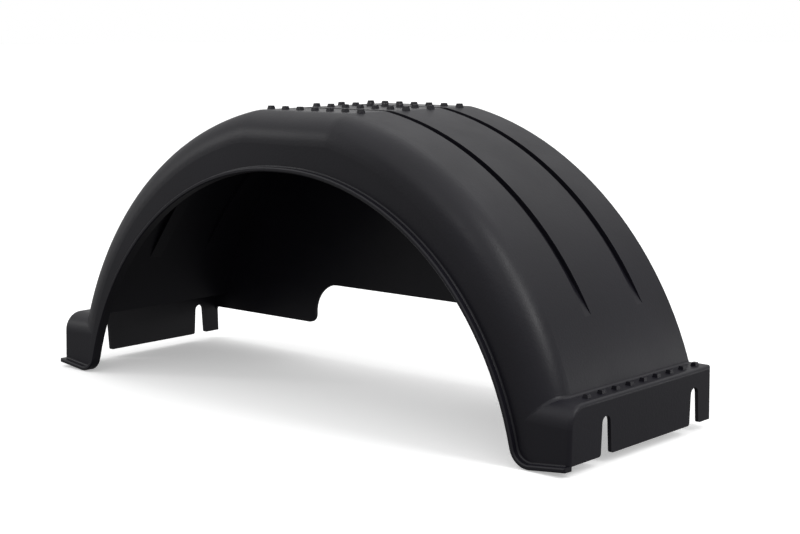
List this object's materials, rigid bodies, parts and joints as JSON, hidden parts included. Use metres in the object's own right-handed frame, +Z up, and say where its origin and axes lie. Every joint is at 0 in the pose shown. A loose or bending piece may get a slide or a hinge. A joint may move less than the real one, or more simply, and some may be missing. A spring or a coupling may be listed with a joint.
{
  "type": "trailer mudguard",
  "caption": "One-piece moulded trailer mudguard: arched tread, lipped wheel opening, closed inner wall with axle notch and slotted end plates.",
  "frame": {"origin": "on the ground under the middle of the guard", "axes": "+X along the trailer, -Y out through the wheel opening, +Y to the closed inner wall, +Z up"},
  "size_m": [0.76, 0.2558, 0.3245],
  "materials": {
    "moulding": "satin black with a fine moulded grain"
  },
  "bodies": {
    "root": {"mudguard": "moulding"}
  },
  "joints": []
}
